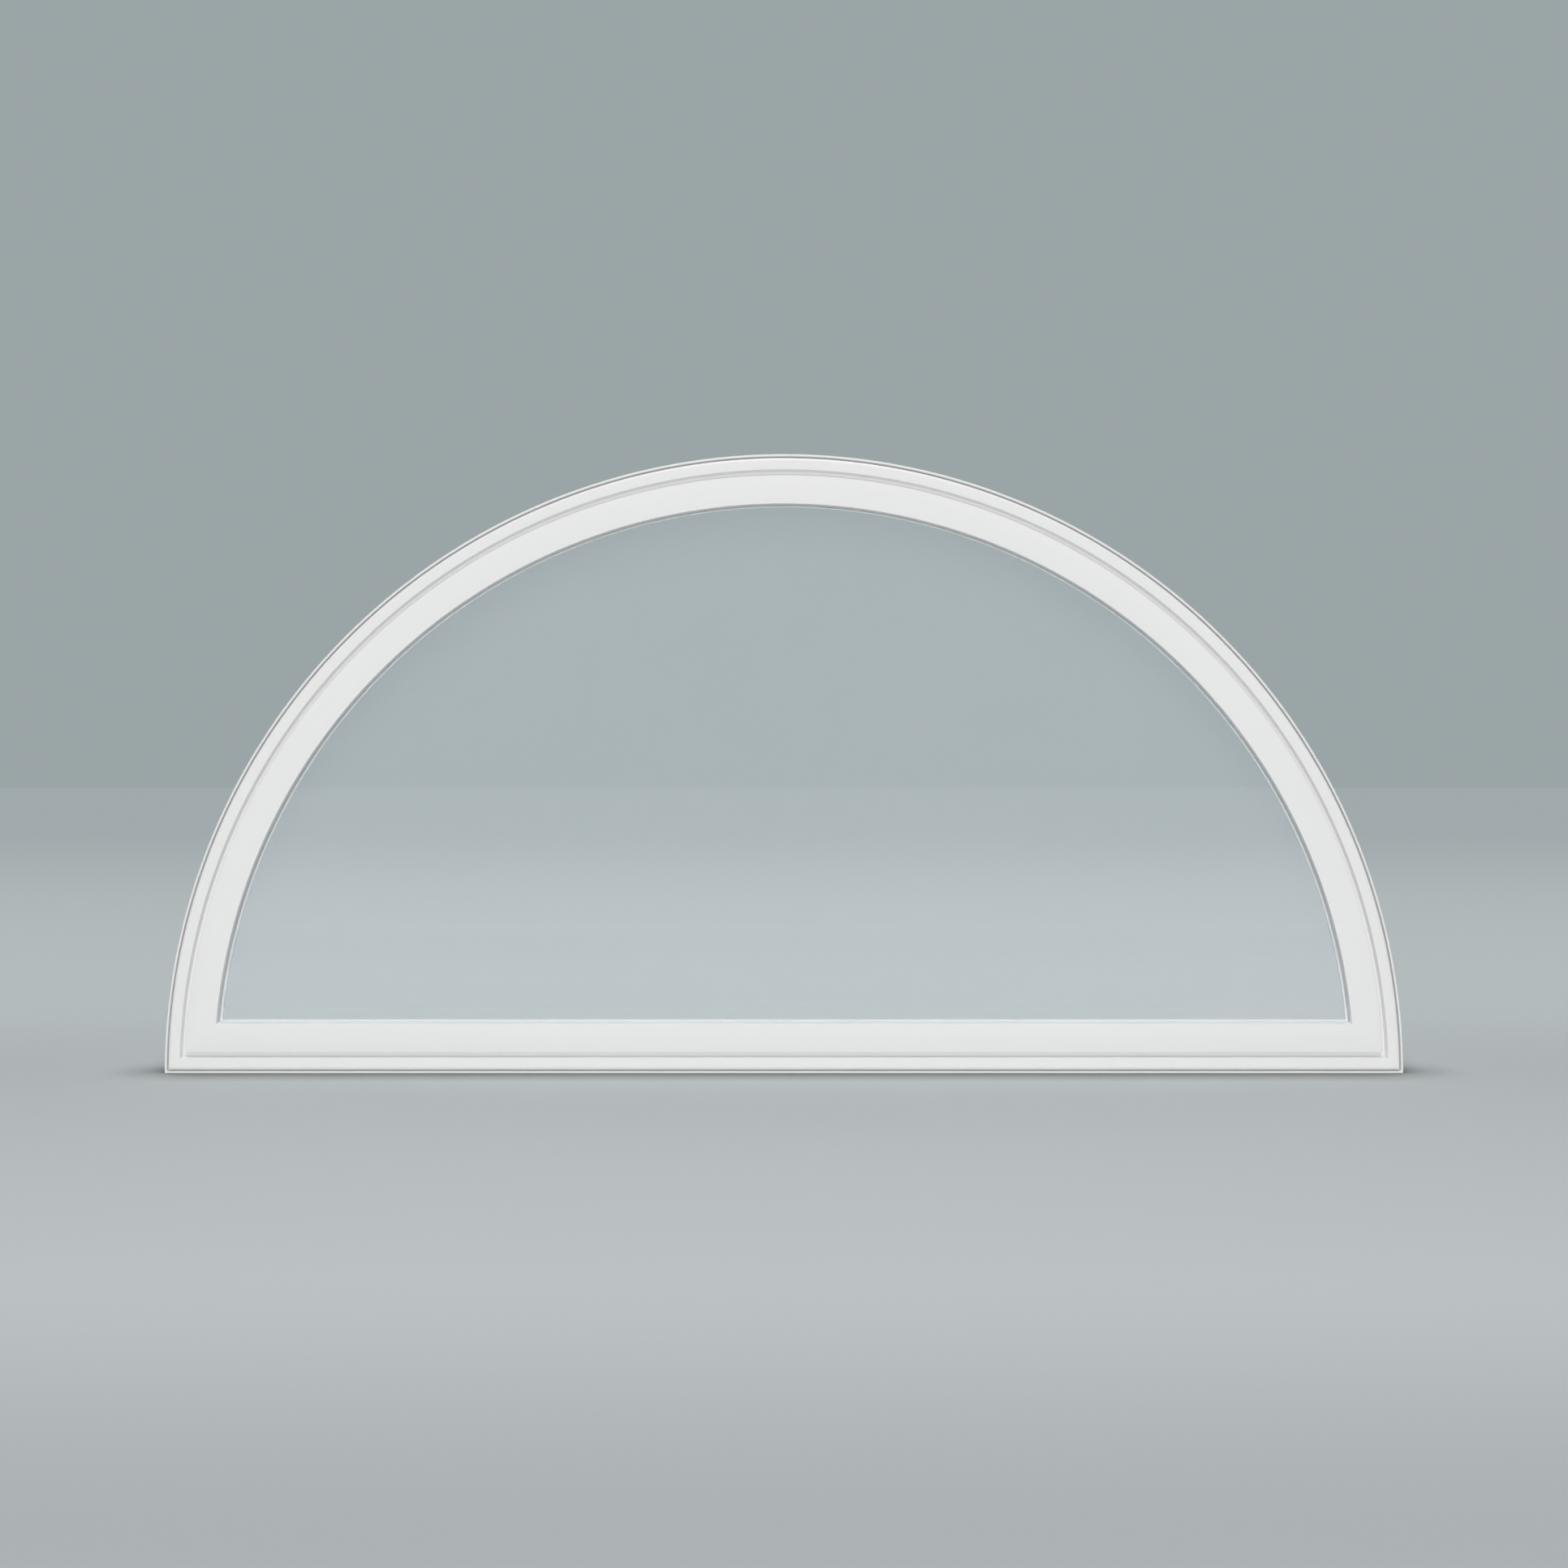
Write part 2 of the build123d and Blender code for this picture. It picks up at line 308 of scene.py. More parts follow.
def build_member_tree():
    """Geometry Nodes tree that sweeps a profile along the arch or the sill."""
    tree, given, result = new_tree(
        "window_member",
        "GeometryNodeTree",
        [
            ("Profile", "NodeSocketGeometry"),
            ("Outline Radius", "NodeSocketFloat"),
            ("Front", "NodeSocketFloat"),
            ("Stations", "NodeSocketInt"),
            ("Bent", "NodeSocketBool"),
            ("Finish", "NodeSocketMaterial"),
        ],
        [("Member", "NodeSocketGeometry")],
    )
    size = add_node(tree, "GeometryNodeAttributeDomainSize", component="MESH")
    feed(tree, size.inputs[0], given.outputs["Profile"])
    columns = size.outputs["Point Count"]

    grid = add_node(tree, "GeometryNodeMeshGrid")
    feed(tree, grid.inputs["Vertices X"], given.outputs["Stations"])
    feed(tree, grid.inputs["Vertices Y"], columns)

    index = add_node(tree, "GeometryNodeInputIndex").outputs[0]
    station = calc(tree, "FLOOR", calc(tree, "DIVIDE", index, columns))
    column = calc(tree, "SUBTRACT", index, calc(tree, "MULTIPLY", station, columns))
    travel = calc(tree, "DIVIDE", station, calc(tree, "SUBTRACT", given.outputs["Stations"], 1.0))

    sample = add_node(tree, "GeometryNodeSampleIndex", data_type="FLOAT_VECTOR", domain="POINT")
    feed(tree, sample.inputs["Geometry"], given.outputs["Profile"])
    feed(tree, sample.inputs["Value"], add_node(tree, "GeometryNodeInputPosition").outputs[0])
    feed(tree, sample.inputs["Index"], column)
    split = add_node(tree, "ShaderNodeSeparateXYZ")
    feed(tree, split.inputs[0], sample.outputs[0])
    inset, depth, around = split.outputs

    bend_radius = calc(tree, "SUBTRACT", given.outputs["Outline Radius"], inset)
    foot_angle = calc(tree, "ARCSINE", calc(tree, "DIVIDE", inset, bend_radius))
    sweep_angle = calc(tree, "MULTIPLY_ADD", foot_angle, -2.0, math.pi)
    angle = calc(tree, "MULTIPLY_ADD", travel, sweep_angle, foot_angle)
    depth_y = calc(tree, "ADD", given.outputs["Front"], depth)
    on_arch = combine(
        tree,
        calc(tree, "MULTIPLY", bend_radius, calc(tree, "COSINE", angle)),
        depth_y,
        calc(tree, "MULTIPLY", bend_radius, calc(tree, "SINE", angle)),
    )
    end_x = calc(tree, "MULTIPLY", bend_radius, calc(tree, "COSINE", foot_angle))
    both_ways = calc(tree, "MULTIPLY_ADD", travel, 2.0, -1.0)
    on_sill = combine(tree, calc(tree, "MULTIPLY", end_x, both_ways), depth_y, inset)

    place = add_node(tree, "GeometryNodeSwitch", input_type="VECTOR")
    feed(tree, place.inputs["Switch"], given.outputs["Bent"])
    feed(tree, place.inputs["False"], on_sill)
    feed(tree, place.inputs["True"], on_arch)
    length = add_node(tree, "GeometryNodeSwitch", input_type="FLOAT")
    feed(tree, length.inputs["Switch"], given.outputs["Bent"])
    feed(tree, length.inputs["False"], calc(tree, "MULTIPLY", end_x, 2.0))
    feed(tree, length.inputs["True"], calc(tree, "MULTIPLY", bend_radius, sweep_angle))

    kept = add_node(tree, "GeometryNodeCaptureAttribute", domain="POINT")
    kept.capture_items.new("VECTOR", "Map")
    feed(tree, kept.inputs["Geometry"], grid.outputs["Mesh"])
    along = calc(tree, "MULTIPLY", travel, length.outputs[0])
    feed(tree, kept.inputs["Map"], combine(tree, along, around, 0.0))

    move = add_node(tree, "GeometryNodeSetPosition")
    feed(tree, move.inputs["Geometry"], kept.outputs["Geometry"])
    feed(tree, move.inputs["Position"], place.outputs[0])
    mapped = add_node(
        tree, "GeometryNodeStoreNamedAttribute", data_type="FLOAT2", domain="CORNER"
    )
    feed(tree, mapped.inputs["Geometry"], move.outputs[0])
    feed(tree, mapped.inputs["Name"], "profile_map")
    feed(tree, mapped.inputs["Value"], kept.outputs["Map"])
    closed = add_node(tree, "GeometryNodeMergeByDistance")
    feed(tree, closed.inputs["Geometry"], mapped.outputs[0])
    feed(tree, closed.inputs["Distance"], WELD_DISTANCE)
    real = add_node(tree, "GeometryNodeRealizeInstances")
    feed(tree, real.inputs[0], closed.outputs[0])
    finish = add_node(tree, "GeometryNodeSetMaterial")
    feed(tree, finish.inputs["Geometry"], real.outputs[0])
    feed(tree, finish.inputs["Material"], given.outputs["Finish"])
    feed(tree, result.inputs[0], finish.outputs[0])
    return tree


member_tree = build_member_tree()
print("member tree:", len(member_tree.nodes), "nodes")

# %% [markdown]
# ## Finishes
#
# White window plastic is extruded: it leaves the die with a satin skin, very fine lines along its
# length and a slight, soft unevenness. These effects are shared by the frame, the sash and the
# beads, so they are node groups that each finish uses with its own values. The groups only work
# out masks and heights, and the shader itself stays in the material.

# %% Extrusion lines as a node group
STREAK_SPREAD = 0.08


def build_extrusion_group():
    """Fine lines along a member, from its texture map in metres."""
    tree, given, result = new_tree(
        "extrusion_lines",
        "ShaderNodeTree",
        [
            ("Map", "NodeSocketVector"),
            ("Lines per Metre", "NodeSocketFloat"),
            ("Line Length", "NodeSocketFloat"),
        ],
        [("Height", "NodeSocketFloat"), ("Streak", "NodeSocketFloat")],
    )
    split = add_node(tree, "ShaderNodeSeparateXYZ")
    feed(tree, split.inputs[0], given.outputs["Map"])
    along = calc(tree, "DIVIDE", split.outputs[0], given.outputs["Line Length"])
    across = calc(tree, "MULTIPLY", split.outputs[1], given.outputs["Lines per Metre"])
    fine = add_node(tree, "ShaderNodeTexNoise", noise_dimensions="2D")
    feed(tree, fine.inputs["Vector"], combine(tree, along, across, 0.0))
    fine.inputs["Scale"].default_value = 1.0
    fine.inputs["Detail"].default_value = 2.0
    broad = add_node(tree, "ShaderNodeTexNoise", noise_dimensions="2D")
    spread = calc(tree, "MULTIPLY", across, STREAK_SPREAD)
    feed(tree, broad.inputs["Vector"], combine(tree, along, spread, 0.0))
    broad.inputs["Scale"].default_value = 0.6
    broad.inputs["Detail"].default_value = 1.0
    feed(tree, result.inputs["Height"], fine.outputs["Fac"])
    feed(tree, result.inputs["Streak"], broad.outputs["Fac"])
    return tree


extrusion_group = build_extrusion_group()
print("extrusion group:", len(extrusion_group.nodes), "nodes")

# %% [markdown]
# Even a clean window has a trace of settled dust: a breath of grey on ledges that face up, broken
# into soft patches. The group gets the surface's upward lean from the material and gives a mask.

# %% Settled dust as a node group
DUST_PATCHES_PER_METRE = 7.0
LEAN_WHERE_DUST_STARTS = 0.35
LEAN_WHERE_DUST_IS_FULL = 0.95


def build_dust_group():
    """Mask for dust on faces that look up, broken by soft patches."""
    tree, given, result = new_tree(
        "settled_dust",
        "ShaderNodeTree",
        [
            ("Place", "NodeSocketVector"),
            ("Upward Lean", "NodeSocketFloat"),
            ("Amount", "NodeSocketFloat"),
        ],
        [("Mask", "NodeSocketFloat"), ("Patches", "NodeSocketFloat")],
    )
    patches = add_node(tree, "ShaderNodeTexNoise", noise_dimensions="3D")
    feed(tree, patches.inputs["Vector"], given.outputs["Place"])
    patches.inputs["Scale"].default_value = DUST_PATCHES_PER_METRE
    patches.inputs["Detail"].default_value = 4.0
    lean = add_node(tree, "ShaderNodeMapRange", interpolation_type="SMOOTHSTEP")
    feed(tree, lean.inputs["Value"], given.outputs["Upward Lean"])
    lean.inputs["From Min"].default_value = LEAN_WHERE_DUST_STARTS
    lean.inputs["From Max"].default_value = LEAN_WHERE_DUST_IS_FULL
    settled = calc(tree, "MULTIPLY", lean.outputs[0], patches.outputs["Fac"])
    feed(tree, result.inputs["Mask"], calc(tree, "MULTIPLY", settled, given.outputs["Amount"]))
    feed(tree, result.inputs["Patches"], patches.outputs["Fac"])
    return tree


dust_group = build_dust_group()
print("dust group:", len(dust_group.nodes), "nodes")

# %% [markdown]
# The plastic material joins the two groups. Colour and roughness drift a little with the soft
# patches, the lines give a very shallow bump, and the dust greys the ledges. Down in its grooves
# the
# plastic gets painted shade: an ambient occlusion node finds them and greys the colour there. On
# the sash and beads it looks only at the piece itself, or the glass would count as a wall. Numbers
# that are the same all over stay on the shader's own sockets.

# %% White plastic


def use_group(tree, group, **values):
    """Group node with its inputs fed by name."""
    node = add_node(tree, "ShaderNodeGroup", node_tree=group)
    for name, value in values.items():
        feed(tree, node.inputs[name.replace("_", " ")], value)
    return node


def blend_colours(tree, mask, first, second):
    """Colour that goes from the first to the second with a mask."""
    node = add_node(tree, "ShaderNodeMix", data_type="RGBA")
    feed(tree, node.inputs[0], mask)
    feed(tree, node.inputs[6], first)
    feed(tree, node.inputs[7], second)
    return node.outputs[2]


def remap(tree, value, low_out, high_out):
    """Value from 0 to 1 spread over another range."""
    return calc(tree, "MULTIPLY_ADD", value, high_out - low_out, low_out)


def new_material(name):
    """Material with its tree and its Principled shader."""
    material = bpy.data.materials.new(name)
    material.use_nodes = True
    return material, material.node_tree, material.node_tree.nodes["Principled BSDF"]


PLASTIC_LINES_PER_METRE = 1400.0
LINE_DEPTH = 0.02 * MM
DUST_AMOUNT = 0.25
DUST_COLOUR = (0.62, 0.61, 0.58)
# Painted shade in grooves: how far the occlusion node looks, and the grey it paints there.
GROOVE_REACH = 4.0 * MM
PAINTED_GROOVE_SHADE_GREY = (0.5, 0.5, 0.49)


def white_plastic(name, light, shade, roughness, line_length, own_grooves):
    """Satin extruded plastic, between two close whites, with painted shade down in its grooves."""
    material, tree, shader = new_material(name)
    place = add_node(tree, "ShaderNodeTexCoord").outputs["Object"]
    member_map = add_node(tree, "ShaderNodeUVMap", uv_map="profile_map").outputs[0]
    surface = add_node(tree, "ShaderNodeNewGeometry")
    facing = add_node(tree, "ShaderNodeSeparateXYZ")
    feed(tree, facing.inputs[0], surface.outputs["Normal"])
    lean = facing.outputs[2]
    dust = use_group(tree, dust_group, Place=place, Upward_Lean=lean, Amount=DUST_AMOUNT)
    lines = use_group(
        tree,
        extrusion_group,
        Map=member_map,
        Lines_per_Metre=PLASTIC_LINES_PER_METRE,
        Line_Length=line_length,
    )
    half_patches = calc(tree, "MULTIPLY", dust.outputs["Patches"], 0.5)
    drift = calc(tree, "MULTIPLY_ADD", lines.outputs["Streak"], 0.5, half_patches)
    clean = blend_colours(tree, drift, (*shade, 1), (*light, 1))
    dusty = blend_colours(tree, dust.outputs["Mask"], clean, (*DUST_COLOUR, 1))
    # Painted shade: the base colour turns grey where the occlusion node finds a groove or crease.
    painted_groove_shade = add_node(tree, "ShaderNodeAmbientOcclusion", only_local=own_grooves)
    painted_groove_shade.inputs["Distance"].default_value = GROOVE_REACH
    feed(
        tree,
        shader.inputs["Base Color"],
        blend_colours(tree, painted_groove_shade.outputs["AO"], (*PAINTED_GROOVE_SHADE_GREY, 1), dusty),
    )
    rough = remap(tree, drift, roughness - 0.05, roughness + 0.05)
    settled = calc(tree, "MULTIPLY_ADD", dust.outputs["Mask"], 0.4, rough)
    feed(tree, shader.inputs["Roughness"], settled)
    shader.inputs["IOR"].default_value = 1.53
    bump = add_node(tree, "ShaderNodeBump")
    bump.inputs["Strength"].default_value = 0.12
    bump.inputs["Distance"].default_value = LINE_DEPTH
    feed(tree, bump.inputs["Height"], lines.outputs["Height"])
    feed(tree, shader.inputs["Normal"], bump.outputs[0])
    return material


WHITE, SHADED_WHITE = (0.825, 0.82, 0.815), (0.80, 0.795, 0.79)
BEAD_WHITE, SHADED_BEAD_WHITE = (0.825, 0.82, 0.81), (0.80, 0.795, 0.785)
frame_finish = white_plastic("frame_white_plastic", WHITE, SHADED_WHITE, 0.42, 0.35, False)
sash_finish = white_plastic("sash_white_plastic", WHITE, SHADED_WHITE, 0.40, 0.30, True)
bead_finish = white_plastic("bead_white_plastic", BEAD_WHITE, SHADED_BEAD_WHITE, 0.38, 0.22, True)
print("white plastics:", frame_finish.name, sash_finish.name, bead_finish.name)

# %% [markdown]
# Seals and the edge sealant are soft and matt. A fine noise in the bump breaks up what little
# gloss they have, and a slow one varies their grey.

# %% Rubber, sealant and block finishes


def matt_compound(name, light, shade, roughness, grain_scale, grain_depth):
    """Matt soft compound with a fine grain."""
    material, tree, shader = new_material(name)
    place = add_node(tree, "ShaderNodeTexCoord").outputs["Object"]
    slow = add_node(tree, "ShaderNodeTexNoise")
    feed(tree, slow.inputs["Vector"], place)
    slow.inputs["Scale"].default_value = 30.0
    slow.inputs["Detail"].default_value = 3.0
    grain = add_node(tree, "ShaderNodeTexNoise")
    feed(tree, grain.inputs["Vector"], place)
    grain.inputs["Scale"].default_value = grain_scale
    feed(
        tree,
        shader.inputs["Base Color"],
        blend_colours(tree, slow.outputs["Fac"], (*shade, 1), (*light, 1)),
    )
    feed(
        tree,
        shader.inputs["Roughness"],
        remap(tree, grain.outputs["Fac"], roughness - 0.08, roughness + 0.08),
    )
    bump = add_node(tree, "ShaderNodeBump")
    bump.inputs["Strength"].default_value = 0.3
    bump.inputs["Distance"].default_value = grain_depth
    feed(tree, bump.inputs["Height"], grain.outputs["Fac"])
    feed(tree, shader.inputs["Normal"], bump.outputs[0])
    return material


seal_finish = matt_compound(
    "seal_grey", (0.74, 0.75, 0.75), (0.66, 0.67, 0.67), 0.7, 1500.0, 0.05 * MM
)
sealant_finish = matt_compound(
    "edge_sealant", (0.06, 0.06, 0.065), (0.035, 0.035, 0.04), 0.6, 900.0, 0.1 * MM
)
block_finish = matt_compound(
    "setting_block", (0.35, 0.36, 0.38), (0.28, 0.29, 0.31), 0.55, 600.0, 0.05 * MM
)
print("compounds:", seal_finish.name, sealant_finish.name, block_finish.name)

# %% [markdown]
# The spacer bar between the panes is metal with a pale coat, and fine lines run along it. A thin
# line of it shows all round the glass. The coat is what the light meets, so it is only a little
# metallic.

# %% Spacer bar metal
METAL_LINES_PER_METRE = 3000.0
METAL_LINE_LENGTH = 0.05
SPACER_SHADE = (0.88, 0.88, 0.885)
SPACER_LIGHT = (0.93, 0.93, 0.935)


def spacer_metal():
    """Pale satin spacer bar with lines along its length."""
    material, tree, shader = new_material("spacer_pale_metal")
    member_map = add_node(tree, "ShaderNodeUVMap", uv_map="profile_map").outputs[0]
    lines = use_group(
        tree,
        extrusion_group,
        Map=member_map,
        Lines_per_Metre=METAL_LINES_PER_METRE,
        Line_Length=METAL_LINE_LENGTH,
    )
    streaks = lines.outputs["Streak"]
    coat = blend_colours(tree, streaks, (*SPACER_SHADE, 1), (*SPACER_LIGHT, 1))
    feed(tree, shader.inputs["Base Color"], coat)
    feed(tree, shader.inputs["Roughness"], remap(tree, lines.outputs["Height"], 0.36, 0.5))
    shader.inputs["Metallic"].default_value = 0.1
    bump = add_node(tree, "ShaderNodeBump")
    bump.inputs["Strength"].default_value = 0.2
    bump.inputs["Distance"].default_value = LINE_DEPTH
    feed(tree, bump.inputs["Height"], lines.outputs["Height"])
    feed(tree, shader.inputs["Normal"], bump.outputs[0])
    return material


spacer_finish = spacer_metal()
print("spacer:", spacer_finish.name)

# %% [markdown]
# Float glass is clear, but on a window it is never quite clean: a thin even film scatters a little
# light and makes the pane look paler than the room behind it. A transmission weight just under one
# gives that film. Light has to reach the pieces behind the glass, so for shadow rays it turns
# transparent. Light Path stays in the material, next to its shaders.

# %% Pane glass
FILM_SHADE = (0.965, 0.98, 0.992)
FILM_LIGHT = (0.985, 0.99, 1.0)
GLASS_SHADOW_TINT = (0.93, 0.96, 0.97)


def pane_glass():
    """Clear glass that lets the lamps through."""
    material, tree, shader = new_material("pane_glass")
    place = add_node(tree, "ShaderNodeTexCoord").outputs["Object"]
    film = add_node(tree, "ShaderNodeTexNoise")
    feed(tree, film.inputs["Vector"], place)
    film.inputs["Scale"].default_value = 2.2
    film.inputs["Detail"].default_value = 5.0
    tint = blend_colours(tree, film.outputs["Fac"], (*FILM_SHADE, 1), (*FILM_LIGHT, 1))
    feed(tree, shader.inputs["Base Color"], tint)
    feed(tree, shader.inputs["Roughness"], remap(tree, film.outputs["Fac"], 0.0, 0.015))
    shader.inputs["Transmission Weight"].default_value = 0.96
    shader.inputs["IOR"].default_value = 1.5
    clear = add_node(tree, "ShaderNodeBsdfTransparent")
    clear.inputs[0].default_value = (*GLASS_SHADOW_TINT, 1)
    path = add_node(tree, "ShaderNodeLightPath")
    choice = add_node(tree, "ShaderNodeMixShader")
    feed(tree, choice.inputs[0], path.outputs["Is Shadow Ray"])
    feed(tree, choice.inputs[1], shader.outputs[0])
    feed(tree, choice.inputs[2], clear.outputs[0])
    feed(tree, tree.nodes["Material Output"].inputs["Surface"], choice.outputs[0])
    return material


glass_finish = pane_glass()
print("glass:", glass_finish.name)

# %% [markdown]
# ## Making the members
#
# Each profile is written as a small mesh line, the member tree is put on it, and the result is
# taken as a plain mesh. The two open ends are closed on the mitre, so that every member is a solid
# piece, and edges stay sharp only where the profile really turns.

# %% From profile to member
ARCH_STATIONS = 361
SILL_STATIONS = 2
SHARP_ANGLE = math.radians(12)


def profile_line(name, profile):
    """Mesh line through a profile's points, closed by repeating the first one."""
    loop = [*profile, profile[0]]
    points = []
    travelled = 0.0
    for index, point in enumerate(loop):
        if index:
            travelled += (point - loop[index - 1]).length
        points.append((point.x, point.y, travelled))
    mesh = bpy.data.meshes.new(name)
    mesh.from_pydata(points, [(index, index + 1) for index in range(len(points) - 1)], [])
    return mesh


def run_tree(name, mesh, tree, values):
    """Plain mesh that a Geometry Nodes tree makes from a mesh, with inputs set by identifier."""
    holder = bpy.data.objects.new(name, mesh)
    bpy.context.scene.collection.objects.link(holder)
    modifier = holder.modifiers.new(tree.name, "NODES")
    modifier.node_group = tree
    for item in tree.interface.items_tree:
        if item.item_type == "SOCKET" and item.in_out == "INPUT" and item.name in values:
            modifier[item.identifier] = values[item.name]
    bpy.context.view_layer.update()
    evaluated = holder.evaluated_get(bpy.context.evaluated_depsgraph_get())
    made = bpy.data.meshes.new_from_object(evaluated)
    holder.modifiers.remove(modifier)
    bpy.data.objects.remove(holder)
    made.name = name
    return made


def close_and_smooth(mesh):
    """Caps the open ends, turns the faces outwards and shades by angle."""
    body = bmesh.new()
    body.from_mesh(mesh)
    rims = [edge for edge in body.edges if edge.is_boundary]
    caps = bmesh.ops.holes_fill(body, edges=rims, sides=0)["faces"]
    bmesh.ops.triangulate(body, faces=caps)
    bmesh.ops.recalc_face_normals(body, faces=body.faces)
    open_edges = sum(edge.is_boundary for edge in body.edges)
    body.to_mesh(mesh)
    body.free()
    mesh.shade_smooth()
    mesh.set_sharp_from_angle(angle=SHARP_ANGLE)
    return open_edges


def place_piece(name, mesh, node):
    """Object for a finished mesh that stands for one node of the model."""
    piece = bpy.data.objects.new(name, mesh)
    bpy.context.scene.collection.objects.link(piece)
    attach(piece, "root")
    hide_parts(node)
    return piece


def make_member(node, profile, bent, finish):
    """Bent or straight member for one node."""
    values = {
        "Outline Radius": outline_radius,
        "Front": front_y,
        "Stations": ARCH_STATIONS if bent else SILL_STATIONS,
        "Bent": bent,
        "Finish": finish,
    }
    mesh = run_tree(f"{node}_member", profile_line(f"{node}_profile", profile), member_tree, values)
    open_edges = close_and_smooth(mesh)
    piece = place_piece(f"{node}_member", mesh, node)
    print(f"{piece.name}: {len(mesh.polygons)} faces, {open_edges} open edges")
    return piece


# %% [markdown]
# A ring is a bent member and a straight one with the same profile. The list below goes from the
# outside of the window to the glass and on into the room.

# %% All rings
rings = (
    ("frame_arch", "frame_sill", frame_profile, frame_finish),
    ("sash_arch", "sash_bottom_rail", sash_profile, sash_finish),
    ("sash_seal_arch", "sash_seal_sill", bar_profile("sash_seal_sill"), seal_finish),
    ("glazing_tape_arch", "glazing_tape_sill", bar_profile("glazing_tape_sill"), seal_finish),
    ("spacer_arch", "spacer_sill", bar_profile("spacer_sill"), spacer_finish),
    ("edge_sealant_arch", "edge_sealant_sill", bar_profile("edge_sealant_sill"), sealant_finish),
    ("bead_gasket_arch", "bead_gasket_sill", bar_profile("bead_gasket_sill"), seal_finish),
    ("glazing_bead_arch", "glazing_bead_sill", bead_profile, bead_finish),
    ("inside_stop_arch", "inside_stop_sill", stop_profile, bead_finish),
)
for bent_node, straight_node, profile, finish in rings:
    make_member(bent_node, profile, True, finish)
    make_member(straight_node, profile, False, finish)

# %% [markdown]
# ## Glass and setting blocks
#
# The two panes are flat sheets whose edges are hidden in the rebate, and the blocks under them are
# plain. The construction model's own meshes are right for both, so they only get their finish.

# %% Finishes for the nodes that stay
for node, finish in (
    ("outer_pane", glass_finish),
    ("inner_pane", glass_finish),
    ("setting_block_left", block_finish),
    ("setting_block_right", block_finish),
):
    for material_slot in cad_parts[node].material_slots:
        material_slot.material = finish
print("kept nodes finished")

# %% [markdown]
# ## Floor and backdrop
#
# The window stands on a plain pale floor that runs back to a pale wall, far behind it. They belong
# to the stage and not to the window. Near the window the floor is a plain matt surface that takes
# its shadow, and its colour carries painted shade that darkens it a little towards the camera. In
# the last few centimetres beside the window an ambient occlusion node paints deeper shade on what
# is seen, so that the sill stands firmly. The light that the floor throws back on the window is
# held down a little, as by a grey cloth. Further off the lamps would leave it too dim or too
# bright, so there the camera, the mirrors and the glass see the backdrop's own colour instead,
# while the window still gets its light from the lamps.

# %% Stage
# Places are metres behind the window, minus in front of it.
FLOOR_HALF_WIDTH = 30.0
FLOOR_FRONT = -14.0
WALL_DISTANCE = 15.0
WALL_HEIGHT = 14.0
BEHIND = {"fade": (-0.2, 0.9), "distant": (1.4, 8.5)}
IN_FRONT = {"fade": (-2.5, -2.95), "distant": (-2.6, -12.0)}
TOWARDS_CAMERA = (-1.5, -2.7)
CONTACT_REACH = 0.1
CONTACT_DEPTH = 1.5
FLOOR_BOUNCE = 0.85
FLOOR_COLOUR = (0.615, 0.655, 0.665)
PAINTED_SHADE_FLOOR_COLOUR = (0.385, 0.415, 0.425)
MIDDLE_FLOOR_COLOUR = (0.453, 0.495, 0.503)
FAR_FLOOR_COLOUR = (0.355, 0.402, 0.413)
WALL_COLOUR = (0.328, 0.376, 0.386)


def seen_directly(tree):
    """1 for the rays that the camera, mirrors and glass see with, 0 for light falling on things."""
    path = add_node(tree, "ShaderNodeLightPath")
    seen = calc(tree, "MAXIMUM", path.outputs["Is Camera Ray"], path.outputs["Is Glossy Ray"])
    return calc(tree, "MAXIMUM", seen, path.outputs["Is Transmission Ray"])


def smooth_range(tree, value, low_in, high_in, low_out, high_out):
    """Value that goes smoothly from one level to another."""
    node = add_node(tree, "ShaderNodeMapRange", interpolation_type="SMOOTHSTEP")
    feed(tree, node.inputs["Value"], value)
    levels = (low_in, high_in, low_out, high_out)
    for name, level in zip(("From Min", "From Max", "To Min", "To Max"), levels):
        node.inputs[name].default_value = level
    return node.outputs[0]


def floor_material():
    """Matt floor near the window that fades, both ways, into the backdrop's own colours."""
    material, tree, shader = new_material("stage_floor")
    place = add_node(tree, "ShaderNodeTexCoord").outputs["Object"]
    split = add_node(tree, "ShaderNodeSeparateXYZ")
    feed(tree, split.inputs[0], place)
    back = split.outputs[1]
    # Painted shade: the near floor's colour darkens towards the camera.
    nearness = smooth_range(tree, back, *TOWARDS_CAMERA, 0.0, 1.0)
    near = blend_colours(tree, nearness, (*FLOOR_COLOUR, 1), (*PAINTED_SHADE_FLOOR_COLOUR, 1))
    # Painted shade: for seen rays the occlusion node darkens the floor right beside the window.
    contact = add_node(tree, "ShaderNodeAmbientOcclusion")
    contact.inputs["Distance"].default_value = CONTACT_REACH
    seen = seen_directly(tree)
    openness = calc(tree, "POWER", contact.outputs["AO"], CONTACT_DEPTH)
    bounced = remap(tree, seen, FLOOR_BOUNCE, 0.0)
    share = calc(tree, "MULTIPLY_ADD", seen, openness, bounced)
    feed(tree, shader.inputs["Base Color"], blend_colours(tree, share, (0, 0, 0, 1), near))
    shader.inputs["Roughness"].default_value = 0.9
    shader.inputs["Specular IOR Level"].default_value = 0.1
    masks = {}
    for part in ("fade", "distant"):
        both = [smooth_range(tree, back, *side[part], 0.0, 1.0) for side in (BEHIND, IN_FRONT)]
        masks[part] = calc(tree, "MAXIMUM", *both)
    glow = add_node(tree, "ShaderNodeEmission")
    far = blend_colours(
        tree, masks["distant"], (*MIDDLE_FLOOR_COLOUR, 1), (*FAR_FLOOR_COLOUR, 1)
    )
    feed(tree, glow.inputs["Color"], far)
    choice = add_node(tree, "ShaderNodeMixShader")
    feed(tree, choice.inputs[0], calc(tree, "MULTIPLY", masks["fade"], seen))
    feed(tree, choice.inputs[1], shader.outputs[0])
    feed(tree, choice.inputs[2], glow.outputs[0])
    feed(tree, tree.nodes["Material Output"].inputs["Surface"], choice.outputs[0])
    return material


